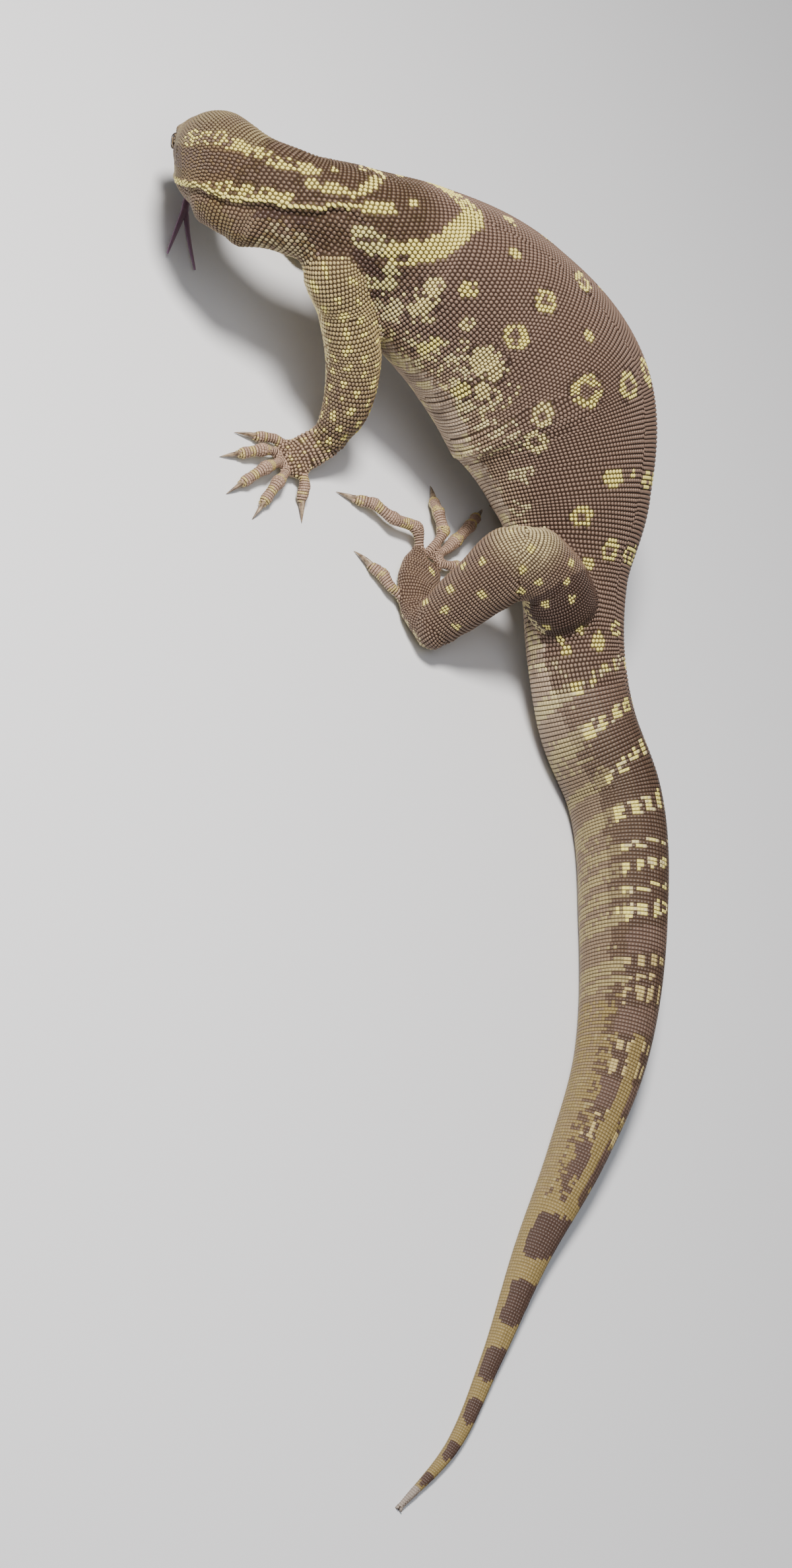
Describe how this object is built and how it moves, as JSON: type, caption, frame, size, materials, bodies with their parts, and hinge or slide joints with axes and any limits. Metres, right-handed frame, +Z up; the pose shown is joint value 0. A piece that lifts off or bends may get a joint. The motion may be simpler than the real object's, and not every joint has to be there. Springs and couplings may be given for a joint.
{
  "type": "water monitor lizard",
  "caption": "Life-size water monitor lizard standing with its neck arched, its head lowered to smell the floor, its forked tongue out and its tail curved behind it.",
  "frame": {"origin": "on the floor under the centre of the whole model's box", "axes": "+Z up, +X along the box's longest side from the snout towards the tail tip, +Y towards the lizard's right side at mid body"},
  "size_m": [0.6796, 0.5098, 0.1495],
  "materials": {
    "scaled_skin": "dry beaded scales, satin",
    "claw_horn": "worn horn, semi-gloss",
    "eye_surface": "wet and shiny",
    "tongue_skin": "moist"
  },
  "bodies": {
    "root": {"claw_foot_left_1": "claw_horn", "claw_foot_left_2": "claw_horn", "claw_foot_left_3": "claw_horn", "claw_foot_left_4": "claw_horn", "claw_foot_left_5": "claw_horn", "claw_foot_right_1": "claw_horn", "claw_foot_right_2": "claw_horn", "claw_foot_right_3": "claw_horn", "claw_foot_right_4": "claw_horn", "claw_foot_right_5": "claw_horn", "claw_hand_left_1": "claw_horn", "claw_hand_left_2": "claw_horn", "claw_hand_left_3": "claw_horn", "claw_hand_left_4": "claw_horn", "claw_hand_left_5": "claw_horn", "claw_hand_right_1": "claw_horn", "claw_hand_right_2": "claw_horn", "claw_hand_right_3": "claw_horn", "claw_hand_right_4": "claw_horn", "claw_hand_right_5": "claw_horn", "eye_left": "eye_surface", "eye_right": "eye_surface", "foot_left": "scaled_skin", "foot_right": "scaled_skin", "forearm_left": "scaled_skin", "forearm_right": "scaled_skin", "hand_left": "scaled_skin", "hand_right": "scaled_skin", "head": "scaled_skin", "neck": "scaled_skin", "shank_left": "scaled_skin", "shank_right": "scaled_skin", "tail_base": "scaled_skin", "tail_end": "scaled_skin", "tail_middle": "scaled_skin", "thigh_left": "scaled_skin", "thigh_right": "scaled_skin", "tongue": "tongue_skin", "torso": "scaled_skin", "upper_arm_left": "scaled_skin", "upper_arm_right": "scaled_skin"}
  },
  "joints": []
}
